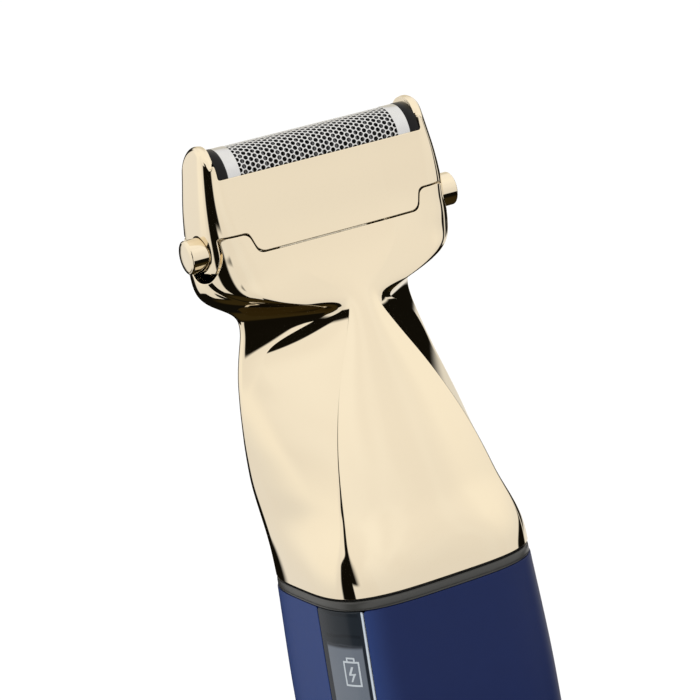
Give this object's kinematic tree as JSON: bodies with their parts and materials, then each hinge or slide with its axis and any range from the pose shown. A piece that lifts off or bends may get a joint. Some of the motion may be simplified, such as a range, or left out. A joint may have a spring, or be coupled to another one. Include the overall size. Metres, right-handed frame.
{
  "type": "foil shaver",
  "caption": "Cordless foil shaver: rounded-square grip with a display strip, sculpted plated neck, lift-off foil cassette with side release buttons over an oscillating cutter.",
  "frame": {"origin": "centre of the flat base", "axes": "+Z from the base to the foil, -Y the front of the grip, +X to the right of someone facing the front"},
  "size_m": [0.0458, 0.0338, 0.1744],
  "materials": {
    "champagne_chrome": "polished champagne plating",
    "champagne_chrome_cassette": "polished champagne plating",
    "champagne_chrome_buttons": "polished champagne plating",
    "foil_steel": "bright perforated foil",
    "black_plastic": "matte",
    "white_plastic": "natural acetal",
    "spring_steel": "bright",
    "blade_steel": "ground",
    "brass": "sintered",
    "screw_steel": "dark nickel",
    "seal_rubber": "matte",
    "collar_grey": "satin",
    "blue_paint": "satin metallic blue",
    "base_blue": "satin metallic blue",
    "smoked_window": "smoked gloss",
    "button_grey": "satin",
    "board_green": "solder mask",
    "led_resin": "diffused resin",
    "cell_wrap": "shrink film",
    "nickel": "bright nickel",
    "motor_steel": "zinc plated",
    "magnet": "ferrite",
    "lead_red": "insulation",
    "lead_black": "insulation"
  },
  "bodies": {
    "shaver_body": {"neck_housing": "champagne_chrome", "collar_ring": "collar_grey", "collar_gasket": "seal_rubber", "neck_screws": "screw_steel", "handle_sleeve": "blue_paint", "display_window": "smoked_window", "base_cap": "base_blue", "base_seal": "seal_rubber", "base_screws": "screw_steel", "inner_chassis": "black_plastic", "button_membrane": "seal_rubber", "tact_switch": "black_plastic", "main_circuit_board": "board_green", "indicator_leds": "led_resin", "battery_cell": "cell_wrap", "battery_tabs": "nickel", "motor_can": "motor_steel", "motor_end_cap": "black_plastic", "motor_magnets": "magnet", "motor_bearing": "brass", "motor_cushion": "seal_rubber", "motor_screws": "screw_steel", "motor_leads": "lead_red", "charge_leads": "lead_black", "charge_socket": "nickel", "charge_board": "board_green", "lever_bracket": "black_plastic", "lever_pin": "spring_steel", "bracket_screws": "screw_steel", "drive_seal": "seal_rubber", "cutter_tray": "black_plastic", "latch_spring_left": "spring_steel", "latch_spring_right": "spring_steel"},
    "rotor": {"motor_armature": "motor_steel", "motor_shaft": "motor_steel", "eccentric_cam": "white_plastic", "eccentric_pin": "motor_steel"},
    "drive_lever_body": {"drive_lever": "white_plastic", "lever_bush": "brass"},
    "cutter_carrier_body": {"cutter_carrier": "white_plastic", "cutter_springs": "spring_steel"},
    "cutter_block": {"blade_holder": "black_plastic", "inner_blades": "blade_steel"},
    "foil_cassette": {"foil_frame": "champagne_chrome_cassette", "foil_screen": "foil_steel", "foil_end_caps": "black_plastic"},
    "release_left": {"release_button_left": "champagne_chrome_buttons"},
    "release_right": {"release_button_right": "champagne_chrome_buttons"},
    "power_button_body": {"power_button": "button_grey"}
  },
  "joints": [
    {"name": "rotor_spin", "type": "hinge", "parent": "shaver_body", "child": "rotor", "pos_m": [0, 0, 0.085], "axis": [0, 0, 1], "continuous": true},
    {"name": "lever_rock", "type": "hinge", "parent": "shaver_body", "child": "drive_lever_body", "pos_m": [0, 0, 0.123], "axis": [0, 1, 0], "range_deg": [-2.2, 2.2]},
    {"name": "carrier_slide", "type": "slide", "parent": "shaver_body", "child": "cutter_carrier_body", "axis": [1, 0, 0], "range_m": [-0.0012, 0.0012]},
    {"name": "cutter_float", "type": "slide", "parent": "cutter_carrier_body", "child": "cutter_block", "axis": [0, 0, -1], "range_m": [0, 0.0008], "stiffness_N_per_m": 60, "springref_m": -0.0006, "deforming": ["cutter_springs"]},
    {"name": "cassette_lift", "type": "slide", "parent": "shaver_body", "child": "foil_cassette", "axis": [0, 0, 1], "range_m": [0, 0.022], "deforming": ["latch_spring_left", "latch_spring_right"]},
    {"name": "release_left_press", "type": "slide", "parent": "foil_cassette", "child": "release_left", "axis": [1, 0, 0], "range_m": [0, 0.0007], "stiffness_N_per_m": 40, "springref_m": -0.0004, "deforming": ["latch_spring_left"]},
    {"name": "release_right_press", "type": "slide", "parent": "foil_cassette", "child": "release_right", "axis": [-1, 0, 0], "range_m": [0, 0.0007], "stiffness_N_per_m": 40, "springref_m": -0.0004, "deforming": ["latch_spring_right"]},
    {"name": "power_press", "type": "slide", "parent": "shaver_body", "child": "power_button_body", "axis": [0.917, 0.399, 0], "range_m": [0, 0.0004], "stiffness_N_per_m": 30, "springref_m": -0.0004}
  ],
  "couplings": [
    {"joint": "carrier_slide", "follows": "lever_rock", "m_per_rad": 0.03115}
  ]
}
